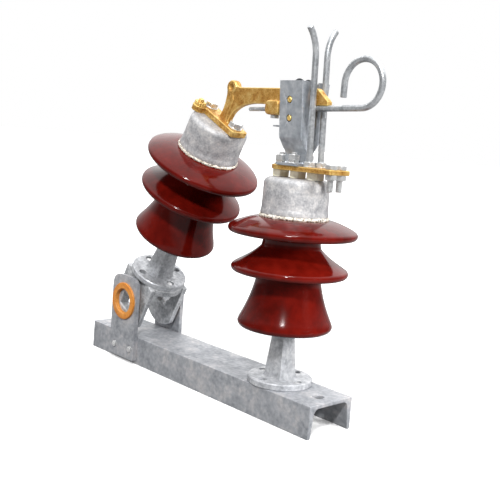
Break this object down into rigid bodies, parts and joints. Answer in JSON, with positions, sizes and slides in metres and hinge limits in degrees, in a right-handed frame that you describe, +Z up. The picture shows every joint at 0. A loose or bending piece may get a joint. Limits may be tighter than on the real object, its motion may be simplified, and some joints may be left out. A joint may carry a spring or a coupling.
{
  "type": "tilting post air-break disconnect switch",
  "caption": "Outdoor medium-voltage disconnect switch pole: steel channel base, fixed and tilting brown porcelain posts, brass blade, spring contact and arcing horns",
  "frame": {"origin": "middle of the channel's length and width, on the level surface under its flange toes", "axes": "+X along the channel from the tilting post to the fixed post, +Y across it away from the side that is usually shown, +Z up"},
  "size_m": [0.4853, 0.1588, 0.4714],
  "materials": {
    "galvanised": "hot-dip galvanised, mottled",
    "zinc_bolt": "bright zinc plate",
    "spring_steel": "plain",
    "cast_iron": "galvanised casting, rough",
    "cap_metal": "galvanised casting, speckled",
    "brass": "cast, dull with brighter edges",
    "packing": "yellow passivated zinc",
    "bush": "moulded bearing bush",
    "porcelain": "dark red-brown glaze",
    "cement": "rough portland cement"
  },
  "bodies": {
    "base": {"base_channel": "galvanised", "bearing_plate_near": "galvanised", "bearing_plate_far": "galvanised", "bush_near": "bush", "bush_far": "bush", "plate_bolts_near": "zinc_bolt", "plate_bolts_far": "zinc_bolt", "fixed_pedestal": "cast_iron", "fixed_foot_bolts": "zinc_bolt", "fixed_porcelain": "porcelain", "fixed_cement": "cement", "fixed_cap": "cap_metal", "packing_nuts": "packing", "cap_studs": "zinc_bolt", "terminal_plate": "brass", "terminal_bolts": "galvanised", "guard_near": "galvanised", "guard_far": "galvanised", "guard_bolts": "zinc_bolt", "contact_finger_near": "brass", "contact_finger_far": "brass", "leaf_spring_near": "spring_steel", "leaf_spring_far": "spring_steel", "finger_studs": "brass", "contact_springs": "spring_steel", "stop_plate": "galvanised", "horn_near": "galvanised", "horn_far": "galvanised", "horn_nuts": "zinc_bolt"},
    "tilting_post": {"carrier": "cast_iron", "carrier_bolts": "zinc_bolt", "tilting_pedestal": "cast_iron", "tilting_porcelain": "porcelain", "tilting_cement": "cement", "tilting_cap": "cap_metal", "blade": "brass", "blade_bolts": "galvanised", "jumper_stud": "brass", "moving_horn": "galvanised", "horn_screw": "zinc_bolt"}
  },
  "joints": [
    {"name": "tilt", "type": "hinge", "parent": "base", "child": "tilting_post", "pos_m": [-0.143, 0, 0.0885], "axis": [0, -1, 0], "range_deg": [0, 55]}
  ]
}
